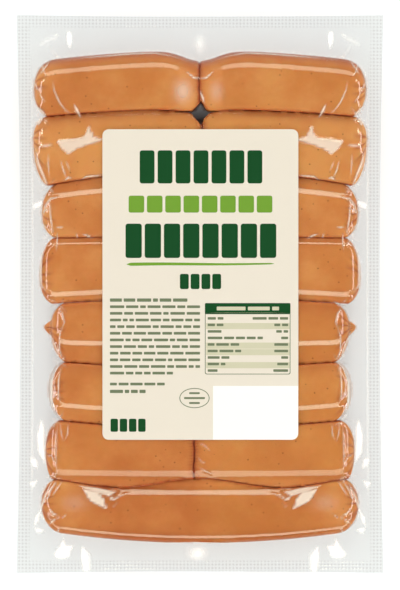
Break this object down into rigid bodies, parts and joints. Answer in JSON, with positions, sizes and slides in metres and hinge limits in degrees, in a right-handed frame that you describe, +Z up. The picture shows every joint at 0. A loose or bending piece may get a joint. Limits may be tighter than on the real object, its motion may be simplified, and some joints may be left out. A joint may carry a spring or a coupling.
{
  "type": "vacuum pack of sausages",
  "caption": "Flat vacuum pack of plump cooked sausages in paired rows, sealed in clear film with a wide rim, with a large paper label on the face.",
  "frame": {"origin": "under the middle of the pack, at the surface that it lies on", "axes": "+X across the pack, +Y towards its top edge, +Z up, out of the labelled face"},
  "size_m": [0.188, 0.286, 0.0306],
  "materials": {
    "sausage": "cooked sausage skin seen through tight clear film, glossy",
    "film": "clear vacuum film, glossy, finely embossed in the seals",
    "label_paper": "cream satin label paper",
    "print_dark": "dark green ink, slightly worn",
    "print_light": "light green ink, slightly worn",
    "print_white": "white ink"
  },
  "bodies": {
    "root": {"bag": "sausage", "label": "label_paper"}
  },
  "joints": []
}
